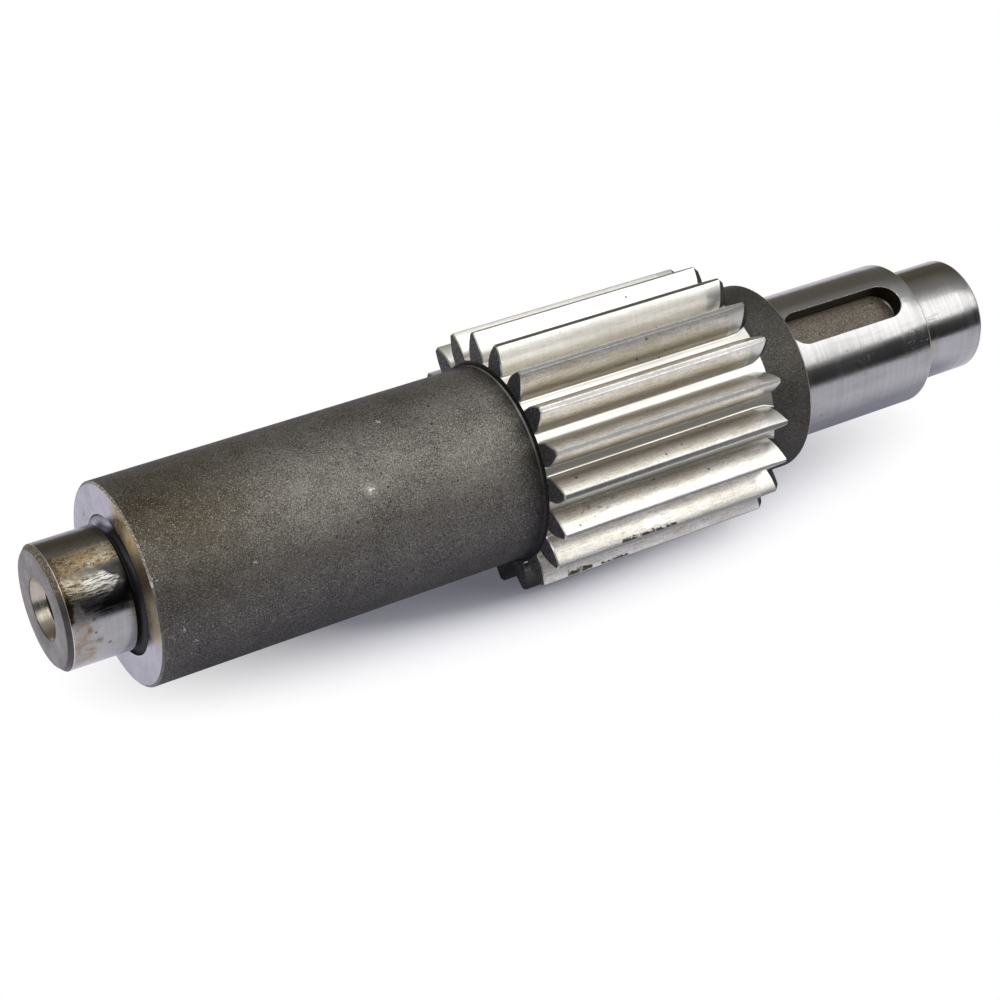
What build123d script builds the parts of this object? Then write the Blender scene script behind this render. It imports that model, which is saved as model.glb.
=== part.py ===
from build123d import *
import os
from math import acos, asin, ceil, cos, degrees, pi, radians, sin, sqrt, tan

# Pinion shaft: a stepped steel shaft with a straight-toothed pinion cut from the solid.
# The axis is the X axis. The origin is the middle of the front journal, and X runs to the rear end.
# One tooth points straight up, so the shaft lies on the two lowest teeth. Sizes are in millimetres.

# Front journal, a ground bearing seat
front_journal_diameter = 30.0
front_journal_length = 18.0
front_journal_chamfer = 1.2

# Tapped centre in the front end face, for an M10 screw
tap_core_diameter = 8.5
tap_depth = 22.0
tap_runout = 4.0
thread_relief_diameter = 11.4
thread_relief_depth = 7.5
centre_mouth_diameter = 14.9
centre_angle = 60.0
drill_point_angle = 118.0

# Plain body between the front journal and the pinion
body_length = 100.0
body_chamfer = 0.5

# Pinion teeth, full depth with a positive profile shift
module_size = 3.0
tooth_count = 19
pressure_angle = 20.0
profile_shift = 0.5
addendum_factor = 1.0
dedendum_factor = 1.4
root_fillet = 0.4
face_width = 67.0

# Tooth ends: a fine bevel at the front, a long end relief and a wider bevel at the rear
front_tooth_bevel = 0.3
rear_tooth_bevel = 1.3
rear_flank_bevel = 1.0
end_relief_length = 5.0
end_relief_depth = 0.25

# The body and the collar stay under the root circle, so that the cutter runs out clear of them
cutter_clearance = 1.25
pinion_face_fillet = 1.0

# Collar between the pinion and the keyed seat
collar_length = 13.0
collar_chamfer = 0.4

# Keyed seat and its closed keyway for a 10 x 8 x 36 parallel key
keyed_seat_diameter = 38.0
keyed_seat_length = 44.5
keyed_seat_chamfer = 0.4
keyway_width = 10.0
keyway_depth = 5.2
keyway_setback = 3.0
keyway_end_wall = 5.0
keyway_angle = 26.0
keyway_floor_corner = 0.3
keyway_edge_break = 0.2

# Rear journal and its plain centre hole
rear_journal_diameter = 30.0
rear_journal_length = 21.5
rear_journal_chamfer = 1.0
rear_centre_mouth_diameter = 6.7
rear_centre_pilot_diameter = 3.15
rear_centre_depth = 5.9

# Round relief groove in the corner of each ground seat
relief_radius = 1.56
relief_offset = 0.3

# Small rounds are drawn as chords of this angle at most, within 0.05 mm of the arc
chord_angle = 30.0

# Radii of the steps
front_journal_radius = front_journal_diameter / 2
rear_journal_radius = rear_journal_diameter / 2
keyed_seat_radius = keyed_seat_diameter / 2
pitch_radius = module_size * tooth_count / 2
base_radius = pitch_radius * cos(radians(pressure_angle))
tip_radius = pitch_radius + (addendum_factor + profile_shift) * module_size
root_radius = pitch_radius - (dedendum_factor - profile_shift) * module_size
body_radius = root_radius - cutter_clearance
collar_radius = body_radius
face_fillet = min(pinion_face_fillet, 0.9 * cutter_clearance)

# Stations along the axis
front_face = -front_journal_length / 2
front_shoulder = front_journal_length / 2
pinion_front = front_shoulder + body_length
pinion_rear = pinion_front + face_width
collar_rear = pinion_rear + collar_length
keyed_seat_rear = collar_rear + keyed_seat_length
rear_face = keyed_seat_rear + rear_journal_length
tap_drill_depth = tap_depth + tap_runout
keyway_length = keyed_seat_length - keyway_setback - keyway_end_wall
keyway_middle = collar_rear + keyway_setback + keyway_length / 2


def round_points(centre, radius, start, end):
    """Corner points of a round drawn as chords, from the start angle to the end angle in degrees."""
    steps = ceil(abs(end - start) / chord_angle)
    angles = [radians(start + (end - start) * i / steps) for i in range(steps + 1)]
    return [(centre[0] + radius * cos(a), centre[1] + radius * sin(a)) for a in angles]


def edge_break(size, outer_radius, inner_radius):
    """Broken edge of a step: at most half of the flat ring that its relief groove leaves."""
    groove_reach = relief_offset + sqrt(relief_radius**2 - relief_offset**2)
    return min(size, (outer_radius - inner_radius - groove_reach) / 2)


def relief_points(step_station, seat_radius, side):
    """Relief groove in the corner between a seat and a step. The seat lies on the given side of the step."""
    centre = (step_station + side * relief_offset, seat_radius + relief_offset)
    lean = degrees(asin(relief_offset / relief_radius))
    on_seat = -lean if side > 0 else 180 + lean
    on_step = 90 + lean if side > 0 else 90 - lean
    start, end = (on_step, on_seat + 360) if side > 0 else (on_seat, on_step + 360)
    return round_points(centre, relief_radius, start, end)


def involute(angle):
    """Involute function of an angle in radians."""
    return tan(angle) - angle


def half_space_angle(radius):
    """Half the angle of a tooth space at a radius, between two involute flanks."""
    alpha = radians(pressure_angle)
    half_tooth = pi / (2 * tooth_count) + 2 * profile_shift * tan(alpha) / tooth_count
    return pi / tooth_count - half_tooth - involute(alpha) + involute(acos(base_radius / radius))


def space_point(radius, side, widening, flank_radius):
    """Point of a tooth space that opens downwards. The space is wider by the widening on each side."""
    angle = side * (half_space_angle(flank_radius) + widening / radius)
    return (radius * sin(angle), -radius * cos(angle))


def root_corner(side, widening):
    """Points from the foot of a flank round the corner to the root circle."""
    foot_angle = half_space_angle(flank_foot) + widening / root_radius
    corner = round_points((-root_fillet, root_fillet), root_fillet, 0, -90)
    return [
        (
            side * (root_radius + height) * sin(foot_angle + inwards / root_radius),
            -(root_radius + height) * cos(foot_angle + inwards / root_radius),
        )
        for inwards, height in corner
    ]


# The space between two teeth, drawn upright about Z: widening of each flank at stations along the axis.
# Flanks start at the base circle and go straight down to the root below it.
flank_foot = max(base_radius, root_radius + root_fillet)
flank_top = tip_radius + 0.5 * module_size
flank_steps = 7
flank_radii = [flank_foot + (flank_top - flank_foot) * i / flank_steps for i in range(flank_steps + 1)]
rear_bevel_start = pinion_rear - rear_tooth_bevel
end_relief_start = rear_bevel_start - end_relief_length
space_sections = [
    (pinion_front - module_size, front_tooth_bevel),
    (pinion_front, front_tooth_bevel),
    (pinion_front + front_tooth_bevel, 0.0),
    (end_relief_start, 0.0),
    (rear_bevel_start, end_relief_depth),
    (pinion_rear, end_relief_depth + rear_flank_bevel),
    (pinion_rear + module_size, end_relief_depth + rear_flank_bevel),
]

with BuildPart() as tooth_space:
    for station, widening in space_sections:
        with BuildSketch(Plane.XY.offset(station)) as outline:
            with BuildLine():
                left_flank = Spline(*[space_point(r, -1, widening, r) for r in flank_radii])
                right_flank = Spline(*[space_point(r, 1, widening, r) for r in flank_radii])
                left_foot = Polyline(left_flank @ 0, *root_corner(-1, widening))
                right_foot = Polyline(right_flank @ 0, *root_corner(1, widening))
                ThreePointArc(left_foot @ 1, (0, -root_radius), right_foot @ 1)
                Line(left_flank @ 1, right_flank @ 1)
            make_face()
    loft(ruled=True)

front_fillet_centre = (pinion_front - face_fillet, body_radius + face_fillet)
rear_fillet_centre = (pinion_rear + face_fillet, collar_radius + face_fillet)
body_edge = edge_break(body_chamfer, body_radius, front_journal_radius)
collar_edge = edge_break(collar_chamfer, collar_radius, keyed_seat_radius)
seat_edge = edge_break(keyed_seat_chamfer, keyed_seat_radius, rear_journal_radius)

# The keyway looks this way, and the half section lies in its middle plane
keyway_up = Vector(0, -sin(radians(keyway_angle)), cos(radians(keyway_angle)))
section_plane = Plane(origin=(0, 0, 0), x_dir=(1, 0, 0), z_dir=Vector(1, 0, 0).cross(keyway_up))

with BuildPart(Plane.YZ) as pinion_shaft:
    # Turned blank: half section with its reliefs, revolved about the axis
    with BuildSketch(section_plane) as half_section:
        with BuildLine():
            Polyline(
                (front_face, 0),
                (front_face, front_journal_radius - front_journal_chamfer),
                (front_face + front_journal_chamfer, front_journal_radius),
                *relief_points(front_shoulder, front_journal_radius, -1),
                (front_shoulder, body_radius - body_edge),
                (front_shoulder + body_edge, body_radius),
                *round_points(front_fillet_centre, face_fillet, -90, 0),
                (pinion_front, tip_radius - front_tooth_bevel),
                (pinion_front + front_tooth_bevel, tip_radius),
                (rear_bevel_start, tip_radius),
                (pinion_rear, tip_radius - rear_tooth_bevel),
                *round_points(rear_fillet_centre, face_fillet, 180, 270),
                (collar_rear - collar_edge, collar_radius),
                (collar_rear, collar_radius - collar_edge),
                *relief_points(collar_rear, keyed_seat_radius, 1),
                (keyed_seat_rear - seat_edge, keyed_seat_radius),
                (keyed_seat_rear, keyed_seat_radius - seat_edge),
                *relief_points(keyed_seat_rear, rear_journal_radius, 1),
                (rear_face - rear_journal_chamfer, rear_journal_radius),
                (rear_face, rear_journal_radius - rear_journal_chamfer),
                (rear_face, 0),
                close=True,
            )
        make_face()
    revolve(axis=Axis.X)

    # Teeth: one space for each tooth, the first straight down
    with PolarLocations(0, tooth_count):
        add(tooth_space.part, mode=Mode.SUBTRACT)

    # Closed keyway with round ends
    keyway_plane = Plane(origin=(keyway_middle, 0, 0), x_dir=(1, 0, 0), z_dir=keyway_up)
    before_keyway = pinion_shaft.edges()
    with BuildSketch(keyway_plane.offset(keyed_seat_radius - keyway_depth)):
        SlotOverall(keyway_length, keyway_width)
    extrude(amount=2 * keyway_depth, mode=Mode.SUBTRACT)
    keyway_edges = pinion_shaft.edges() - before_keyway
    by_height = keyway_edges.sort_by(lambda edge: keyway_plane.to_local_coords(edge.center()).Z)
    chamfer(by_height[:4], keyway_floor_corner)
    rim = by_height[-4:]
    chamfer(pinion_shaft.edges().filter_by(lambda edge: any(edge.is_same(r) for r in rim)), keyway_edge_break)

    # Tapped centre in the front face: mouth, relief past the first threads, core and drill point
    centre_slope = tan(radians(centre_angle / 2))
    mouth_depth = (centre_mouth_diameter - thread_relief_diameter) / 2 / centre_slope
    drill_point = tap_core_diameter / 2 / tan(radians(drill_point_angle / 2))
    with BuildSketch(Plane.XY):
        with BuildLine():
            Polyline(
                (front_face, 0),
                (front_face, centre_mouth_diameter / 2),
                (front_face + mouth_depth, thread_relief_diameter / 2),
                (front_face + thread_relief_depth, thread_relief_diameter / 2),
                (front_face + thread_relief_depth, tap_core_diameter / 2),
                (front_face + tap_drill_depth, tap_core_diameter / 2),
                (front_face + tap_drill_depth + drill_point, 0),
                close=True,
            )
        make_face()
    revolve(axis=Axis.X, mode=Mode.SUBTRACT)

    # Plain centre hole in the rear face
    rear_mouth_depth = (rear_centre_mouth_diameter - rear_centre_pilot_diameter) / 2 / centre_slope
    rear_point = rear_centre_pilot_diameter / 2 / tan(radians(drill_point_angle / 2))
    with BuildSketch(Plane.XY):
        with BuildLine():
            Polyline(
                (rear_face, 0),
                (rear_face, rear_centre_mouth_diameter / 2),
                (rear_face - rear_mouth_depth, rear_centre_pilot_diameter / 2),
                (rear_face - rear_centre_depth, rear_centre_pilot_diameter / 2),
                (rear_face - rear_centre_depth - rear_point, 0),
                close=True,
            )
        make_face()
    revolve(axis=Axis.X, mode=Mode.SUBTRACT)

os.makedirs("parts", exist_ok=True)
pinion_shaft.part.label = "pinion_shaft"
export_step(pinion_shaft.part, "parts/pinion_shaft.step")
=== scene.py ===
from math import asin, ceil, cos, degrees, pi, radians, sin, sqrt, tan

import bmesh
import bpy
from mathutils import Matrix, Vector


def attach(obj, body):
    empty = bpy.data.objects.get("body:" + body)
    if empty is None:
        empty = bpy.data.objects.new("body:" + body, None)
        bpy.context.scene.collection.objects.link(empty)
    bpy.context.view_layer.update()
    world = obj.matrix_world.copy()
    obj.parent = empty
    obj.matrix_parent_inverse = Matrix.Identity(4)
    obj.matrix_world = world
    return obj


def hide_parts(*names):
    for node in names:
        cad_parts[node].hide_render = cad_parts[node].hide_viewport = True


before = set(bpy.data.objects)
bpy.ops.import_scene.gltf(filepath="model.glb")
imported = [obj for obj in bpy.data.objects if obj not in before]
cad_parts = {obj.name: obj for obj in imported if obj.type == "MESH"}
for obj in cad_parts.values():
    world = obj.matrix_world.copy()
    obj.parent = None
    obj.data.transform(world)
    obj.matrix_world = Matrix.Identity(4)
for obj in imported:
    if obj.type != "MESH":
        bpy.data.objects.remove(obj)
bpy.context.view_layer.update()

# Sizes in metres, as the solid has them
MM = 0.001

front_face = -9.0 * MM
front_shoulder = 9.0 * MM
pinion_front = 109.0 * MM
pinion_rear = 176.0 * MM
collar_rear = 189.0 * MM
keyed_seat_rear = 233.5 * MM
rear_face = 255.0 * MM

journal_radius = 15.0 * MM
keyed_seat_radius = 19.0 * MM
front_journal_chamfer = 1.2 * MM
rear_journal_chamfer = 1.0 * MM
body_chamfer = 0.5 * MM
collar_chamfer = 0.4 * MM
keyed_seat_chamfer = 0.4 * MM
relief_radius = 1.56 * MM
relief_offset = 0.3 * MM

tooth_count = 19
module_size = 3.0 * MM
pressure_angle = radians(20.0)
profile_shift = 0.5
addendum = 1.0
dedendum = 1.4
root_round = 0.4 * MM
tip_break = 0.12 * MM
front_tooth_bevel = 0.3 * MM
rear_tooth_bevel = 1.3 * MM
rear_flank_bevel = 1.0 * MM
end_relief_length = 5.0 * MM
end_relief_depth = 0.25 * MM
rear_bevel_slant = 0.19
cutter_clearance = 1.25 * MM
face_fillet = 1.0 * MM

tap_core_radius = 4.25 * MM
thread_depth = 0.75 * MM
thread_pitch = 1.5 * MM
thread_end = 13.0 * MM
tap_bottom = 17.0 * MM
thread_relief_end = -1.5 * MM
thread_relief_radius = 5.7 * MM
centre_mouth_radius = 7.45 * MM
rear_mouth_radius = 3.35 * MM
rear_pilot_radius = 1.575 * MM
rear_centre_depth = 5.9 * MM
centre_slope = tan(radians(30.0))
drill_slope = tan(radians(59.0))

keyway_width = 10.0 * MM
keyway_length = 36.5 * MM
keyway_depth = 5.2 * MM
keyway_setback = 3.0 * MM
keyway_angle = radians(26.0)
keyway_floor_corner = 0.3 * MM
keyway_edge_break = 0.2 * MM

floor_height = -32.656 * MM
worn_edge = 0.1 * MM

pitch_radius = module_size * tooth_count / 2
root_radius = pitch_radius - (dedendum - profile_shift) * module_size
body_radius = root_radius - cutter_clearance
fillet_radius = body_radius + face_fillet

# Points across half a tooth, counted from its middle to the middle of the space beside it
tip_edge = 1
flank_top = 2
flank_foot = 8
corner_start = 9
corner_end = 11
points_per_half_tooth = 12
points_per_tooth = 2 * points_per_half_tooth

# Stations along a tooth, counted from the inner ring of its front face to the inner ring of its rear face
front_outline = 1
full_tooth = 2
relief_start = 4
bevel_start = 5
bevel_end = 6
tooth_stations = 8


# ---- Nodes ----

class Value:
    """Output of a node. Sums, products and comparisons with it are worked out by further nodes."""

    def __init__(self, socket):
        self.socket = socket

    def __add__(self, other):
        return calc("ADD", self, other)

    def __sub__(self, other):
        return calc("SUBTRACT", self, other)

    def __rsub__(self, other):
        return calc("SUBTRACT", other, self)

    def __mul__(self, other):
        return calc("MULTIPLY", self, other)

    def __truediv__(self, other):
        return calc("DIVIDE", self, other)

    def __rtruediv__(self, other):
        return calc("DIVIDE", other, self)

    def __gt__(self, other):
        return calc("GREATER_THAN", self, other)

    def __lt__(self, other):
        return calc("LESS_THAN", self, other)

    __radd__ = __add__
    __rmul__ = __mul__


def feed(socket, value):
    """Links a socket to a value, or sets it to a constant."""
    if isinstance(value, Value):
        socket.id_data.links.new(value.socket, socket)
    else:
        socket.default_value = value


def node(kind, inputs, output=0, tree=None, **settings):
    """Adds a node, in the tree of the values that it is fed with, and returns one of its outputs."""
    if tree is None:
        tree = next(value.socket.id_data for value in inputs.values() if isinstance(value, Value))
    step = tree.nodes.new(kind)
    for name, value in settings.items():
        setattr(step, name, value)
    for name, value in inputs.items():
        feed(step.inputs[name], value)
    return Value(step.outputs[output])


def calc(operation, *values, clamp=False):
    """One step of arithmetic on numbers and values."""
    return node("ShaderNodeMath", dict(enumerate(values)), operation=operation, use_clamp=clamp)


def ramp(value, start, end, low=0.0, high=1.0):
    """Value taken from start to end, to low to high, held at both ends."""
    inputs = {"Value": value, "From Min": start, "From Max": end, "To Min": low, "To Max": high}
    return node("ShaderNodeMapRange", inputs, "Result")


def window(value, start, end, soft):
    """1 from start to end, falling to 0 over a margin on both sides."""
    return ramp(value, start - soft, start + soft) * ramp(value, end - soft, end + soft, 1.0, 0.0)


def tint(share, first, second):
    """Colour between two colours."""
    first, second = ((*colour, 1.0) if isinstance(colour, tuple) else colour for colour in (first, second))
    factor, colour_a, colour_b, mixed_colour = 0, 6, 7, 2
    inputs = {factor: share, colour_a: first, colour_b: second}
    return node("ShaderNodeMix", inputs, mixed_colour, data_type="RGBA")


def stretched(place, scale):
    """Coordinates drawn out by a different scale along each axis."""
    return node("ShaderNodeMapping", {"Vector": place, "Scale": scale})


def coordinates(place):
    """The X, Y and Z of a place."""
    parts = node("ShaderNodeSeparateXYZ", {"Vector": place})
    return [Value(socket) for socket in parts.socket.node.outputs]


def length(vector):
    """Length of a vector."""
    return node("ShaderNodeVectorMath", {0: vector}, "Value", operation="LENGTH")


def grain(place, scale, detail=3.0, roughness=0.55, warp=0.0, along=1.0):
    """Noise from 0 to 1, with this many grains to a unit of the place. Under 1, along draws it out along the axis."""
    if along != 1.0:
        place = stretched(place, (along, 1.0, 1.0))
    inputs = {"Vector": place, "Scale": scale, "Detail": detail, "Roughness": roughness, "Distortion": warp}
    return node("ShaderNodeTexNoise", inputs, "Fac")


def pits(place, scale, size):
    """Scattered small dots, 1 inside a dot, with this many cells to a metre."""
    return ramp(node("ShaderNodeTexVoronoi", {"Vector": place, "Scale": scale}, "Distance"), size, size * 0.6)


def relief(height, depth, normal=None):
    """Bump of this depth in metres, on top of another one."""
    inputs = {"Distance": depth, "Height": height}
    if normal is not None:
        inputs["Normal"] = normal
    return node("ShaderNodeBump", inputs, "Normal")


# ---- Places on the shaft, in millimetres and in degrees from straight up towards the front ----

def around(place):
    """Station along the axis, and angle about it."""
    x, y, z = coordinates(place)
    return x / MM, calc("ARCTAN2", y * -1.0, z) * degrees(1.0)


def from_axis(place):
    """Distance from the axis."""
    return length(stretched(place, (0.0, 1.0, 1.0))) / MM


def patch(place, centre, reach, ragged, scale=250.0):
    """Stain round a point of the surface, 1 at its middle, with a ragged edge."""
    centre = [c * MM for c in centre]
    distance = node("ShaderNodeVectorMath", {0: place, 1: centre}, "Value", operation="DISTANCE") / MM
    return ramp(distance + (grain(place, scale) - 0.5) * ragged, reach, 0.15 * reach)


def zone(place, stations, angles, ragged, scale=320.0, soft=3.0):
    """Area of a turned surface between two stations and two angles, with a ragged edge."""
    along, turn = around(place)
    drift = grain(place, scale, 4.0, 0.6) - 0.5
    in_stations = window(along + drift * (2 * ragged), *stations, 0.2 * soft)
    return in_stations * window(turn + drift * (8 * ragged), *angles, soft)


# ---- Stains, with painted shade and painted highlights ----
# A function of stains returns the stained surface, and how dull it is or how strong its bright specks are

def broken(area, pattern, level, margin=0.04):
    """Flecks of a pattern, crisp at their edges. They thin out where the area fades."""
    return ramp((area - 1.0) * 0.4 + pattern, level, level + margin)


def laid(surface, *layers):
    """Surface with stains laid over it in turn. Each has an area, a colour and a strength, and flecks also have
    their pattern, level and margin."""
    for area, colour, strength, *flecks in layers:
        share = broken(area, *flecks) if flecks else area
        surface = tint(share * strength, surface, colour)
    return surface


def body_marks_and_painted_shade(place, surface, coarse):
    """Marks on the body and the collar: darker behind the teeth; painted shade in the corner before them, with a
    painted highlight ring on its upper part; and painted shade on the underside. Also returns the strength of the
    bright specks."""
    along, turn = around(place)
    before = pinion_front / MM - along
    painted_corner_shade = ramp(before + (coarse * 4.0 - 2.0), 7.0, 0.5)
    surface = laid(
        surface,
        (ramp(along, 174, 177), (0.035, 0.032, 0.028), 0.24),
        # Painted shade in the corner before the teeth
        (painted_corner_shade * ramp(along, 112, 120, 1.0, 0.72), (0.018, 0.017, 0.015), 0.75),
        # Painted highlight ring on the upper part of that corner
        (window(before, 0.5, 0.85, 0.1) * window(turn, -40, 62, 16), (0.4, 0.39, 0.36), 0.5),
        # Painted shade right at the face of the teeth
        (window(before, 0.0, 0.4, 0.1), (0.012, 0.012, 0.012), 0.9),
        # Painted shade on the underside
        (window(turn, 80, 160, 20) * window(along, 5, 180, 4), (0.035, 0.035, 0.046), 0.45),
    )
    clean = ramp(window(before, -1.0, 3.0, 1.5), 0.0, 1.0, 1.0, 0.15)
    return surface, ramp(along, 172, 176, 0.5, 0.22) * clean


def journal_rust_and_painted_shade(place, surface):
    """Rust on the journal: gold and dark brown flecks above, dark streaks in the bright part, spots low down. The top
    and the bright band next to the shoulder are painted darker as shade, and the band below the bright part carries a
    painted dark reflection.
    """
    flecks = grain(place, 1700.0, 8.0, 0.85, 0.3, along=0.5)
    dust = grain(place, 2900.0, 6.0, 0.85, 0.2, along=0.4)
    streaks = grain(place, 2300.0, 5.0, 0.75, 0.3, along=0.12)
    blots = grain(place, 520.0, 7.0, 0.78, 0.6, along=0.6)
    crown = zone(place, (-9.0, 9.0), (-70, 12), 1.0)
    upper = zone(place, (-8.5, 7.8), (10, 37), 2.0, 600.0)
    front = zone(place, (-8.5, -2.5), (10, 54), 2.5, 500.0, 6.0)
    rim = zone(place, (-9.0, -6.2), (8, 74), 1.2, 600.0)
    smear = zone(place, (-2.5, 8.5), (29, 38), 1.5, 400.0)
    edge_rust = zone(place, (-8.5, -1.0), (24, 38), 1.5, 500.0)
    bright = zone(place, (-8.5, 5.5), (36, 58), 1.5, 500.0)
    middle = zone(place, (-8.5, 1.0), (36, 58), 2.5, 300.0, 9.0)
    under = zone(place, (-5.0, 8.6), (52, 69), 1.5, 400.0, 4.0)
    low = zone(place, (-8.8, -2.0), (66, 128), 2.5, 350.0, 9.0)
    back_line = zone(place, (6.9, 8.4), (62, 108), 0.6, 500.0)
    along, turn = around(place)
    # Painted shade on the bright band next to the shoulder, reaching further forward at the band's edges
    tapered = along + calc("ABSOLUTE", turn - 46.0) * 0.3 + blots * 2.0
    behind = ramp(tapered, 5.6, 7.2) * window(turn, 33, 68, 3)
    gold = tint(ramp(along, -6, 5), (0.1, 0.075, 0.035), (0.27, 0.215, 0.125))
    surface = laid(
        surface,
        # The top is painted darker and warmer as shade, with dark blots over it
        (crown, (0.095, 0.082, 0.06), 0.88),
        (crown, (0.06, 0.045, 0.028), 0.7, blots, 0.5, 0.16),
        (upper, gold, 0.9),
        (front, (0.17, 0.125, 0.06), 0.75),
        (upper, (0.56, 0.51, 0.4), ramp(along, -7, 0, 0.35, 0.85), dust, 0.53, 0.06),
        (front, (0.5, 0.44, 0.33), 0.6, dust, 0.56, 0.06),
        (upper, (0.17, 0.088, 0.018), 0.8, blots, 0.5, 0.06),
        (upper, (0.03, 0.02, 0.01), 0.92, flecks, 0.52, 0.04),
        (front, (0.04, 0.024, 0.01), 0.92, flecks, 0.49, 0.04),
        (edge_rust, (0.05, 0.034, 0.018), 0.88, flecks, 0.44, 0.08),
        (smear, (0.05, 0.05, 0.053), 0.95, streaks, 0.2, 0.25),
        (middle, (0.3, 0.26, 0.19), 0.45),
        (bright, (0.2, 0.19, 0.17), 0.3),
        (bright, (0.04, 0.032, 0.02), 0.92, streaks, 0.49, 0.05),
        # Painted shade next to the shoulder, and a painted dark reflection below the bright part
        (behind, (0.02, 0.019, 0.018), 0.97, streaks, 0.2, 0.2),
        (under, (0.04, 0.04, 0.042), 0.92, streaks, 0.3, 0.25),
        (rim, (0.085, 0.048, 0.014), 0.92, blots, 0.34, 0.14),
        (rim, (0.016, 0.011, 0.006), 0.9, flecks, 0.48, 0.08),
        (low, (0.29, 0.21, 0.14), 0.85, blots, 0.36, 0.2),
        (low, (0.16, 0.1, 0.06), 0.5, dust, 0.56, 0.1),
        (back_line, (0.15, 0.12, 0.09), 0.75),
    )
    for centre, reach, colour in (
        ((-3.7, -14.9, 1.8), 1.0, (0.17, 0.11, 0.04)),
        ((-2.4, -14.4, 4.2), 0.6, (0.1, 0.075, 0.05)),
        ((-2.5, -15.0, 1.0), 0.5, (0.06, 0.03, 0.015)),
        ((-1.8, -14.9, -1.4), 1.3, (0.2, 0.14, 0.08)),
        ((0.6, -14.7, -3.0), 0.6, (0.1, 0.07, 0.06)),
        ((-1.2, -4.5, 14.3), 2.0, (0.2, 0.11, 0.03)),
    ):
        surface = laid(surface, (patch(place, centre, reach, 0.9 * reach, 1200.0), colour, 0.85))
    return surface, calc("MAXIMUM", calc("MAXIMUM", upper * 0.6, low * 0.4), crown * 0.15)


def shoulder_stains(place, surface):
    """Oily film on the shoulder beside the journal: tan above, nearly black at the front, grey below."""
    face = (8.0, 10.0)
    spots = grain(place, 700.0, 5.0, 0.7)
    film = zone(place, face, (6, 97), 1.2, 260.0)
    first = zone(place, face, (2, 20), 1.2, 260.0)
    gold = zone(place, face, (21, 36), 1.0, 260.0, 4.0)
    deep = zone(place, face, (42, 64), 1.0, 260.0, 6.0)
    under = zone(place, face, (55, 93), 1.0, 260.0, 6.0)
    marks = zone(place, face, (-66, -30), 1.5)
    surface = laid(
        surface,
        (film, (0.6, 0.47, 0.28), 0.85),
        (gold, (0.95, 0.74, 0.4), 0.9),
        (first, (0.42, 0.3, 0.14), 0.65),
        (first, (0.13, 0.08, 0.03), 0.7, spots, 0.5),
        (under, (0.27, 0.235, 0.185), 0.75),
        (film * ramp(from_axis(place), 20.0, 17.6), (0.2, 0.18, 0.14), 0.4),
        (deep, (0.045, 0.032, 0.018), 0.93),
        (film, (0.2, 0.14, 0.07), 0.5, spots, 0.56),
        (marks, (0.12, 0.11, 0.11), 0.8, spots, 0.6),
    )
    return surface, film * 0.85


def flank_stains(place, surface):
    """Thin warm film on the flanks, faint scratches along them and dark blotches on the lowest ones."""
    film = grain(place, 260.0, 6.0, 0.65, 0.4, along=0.3)
    fine = grain(place, 3000.0, 3.0, 0.7, along=0.1)
    blots = grain(place, 900.0, 6.0, 0.75, 0.5, along=0.6)
    grit = grain(place, 2600.0, 3.0, 0.8, along=0.6)
    _, turn = around(place)
    foot = ramp(from_axis(place), 32.4, 28.2) * window(turn, 16, 84, 4)
    wiped = ramp(turn, 8, 20, 0.35, 1.0)
    dark = zone(place, (127.5, 144.0), (111.3, 114.5), 0.4, 700.0, 0.8)
    for stations, angles in (((115.8, 123.2), (129.8, 134.0)), ((125.7, 134.2), (130.3, 134.0))):
        dark = calc("MAXIMUM", dark, zone(place, stations, angles, 0.4, 700.0, 0.8))
    dark = broken(dark, blots, 0.395)
    surface = laid(
        surface,
        (ramp(film, 0.4, 0.68, 0.0, 0.45), (0.52, 0.45, 0.335), wiped),
        (foot, (0.33, 0.285, 0.215), 0.62),
        (ramp(fine, 0.48, 0.68, 0.0, 0.65), (0.4, 0.355, 0.285), wiped),
        (ramp(grit, 0.5, 0.68, 0.0, 0.55), (0.36, 0.32, 0.26), wiped),
        (dark, (0.035, 0.022, 0.013), 0.95),
        (zone(place, (111.0, 126.0), (84.0, 93.0), 1.5, 300.0), (0.2, 0.15, 0.09), 0.6, blots, 0.55),
    )
    return underside_painted_shade(place, surface)[0], dark


def underside_painted_shade(place, surface):
    """Painted shade on the front ends of the lowest teeth, under the body."""
    return laid(surface, (zone(place, (108.0, 124.0), (142, 190), 1.0), (0.03, 0.028, 0.026), 0.92)), 0.0


def tip_wear(place, surface):
    """Each tip land is worn bright along both of its edges."""
    _, turn = around(place)
    tooth_angle = 360 / tooth_count
    across = calc("FLOORED_MODULO", turn + 0.5 * tooth_angle, tooth_angle)
    from_middle = calc("ABSOLUTE", across - 0.5 * tooth_angle)
    drift = grain(place, 900.0, 4.0, 0.7) - 0.5
    bright = ramp(drift * 1.6 + from_middle, 0.5, 1.1)
    return underside_painted_shade(place, laid(surface, (bright, (0.7, 0.685, 0.65), 0.6)))


def rim_glints_and_nick(place, surface):
    """Lighter tone and bright spots on the upper part of the body's front rim, partly battering and partly painted
    highlight, and a nick.
    """
    _, turn = around(place)
    spots = grain(place, 2300.0, 3.0, 0.7)
    upper = window(turn, -30, 62, 6)
    nick = zone(place, (8.5, 11.5), (56.0, 58.5), 0.5, 600.0, 0.6)
    return laid(
        surface,
        # Upper part only: partly battering, partly painted highlight
        (upper, (0.42, 0.37, 0.28), 0.7),
        (upper, (0.9, 0.88, 0.82), 0.88, spots, 0.5, 0.08),
        (nick, (0.9, 0.88, 0.82), 0.8),
    ), 0.3


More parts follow.
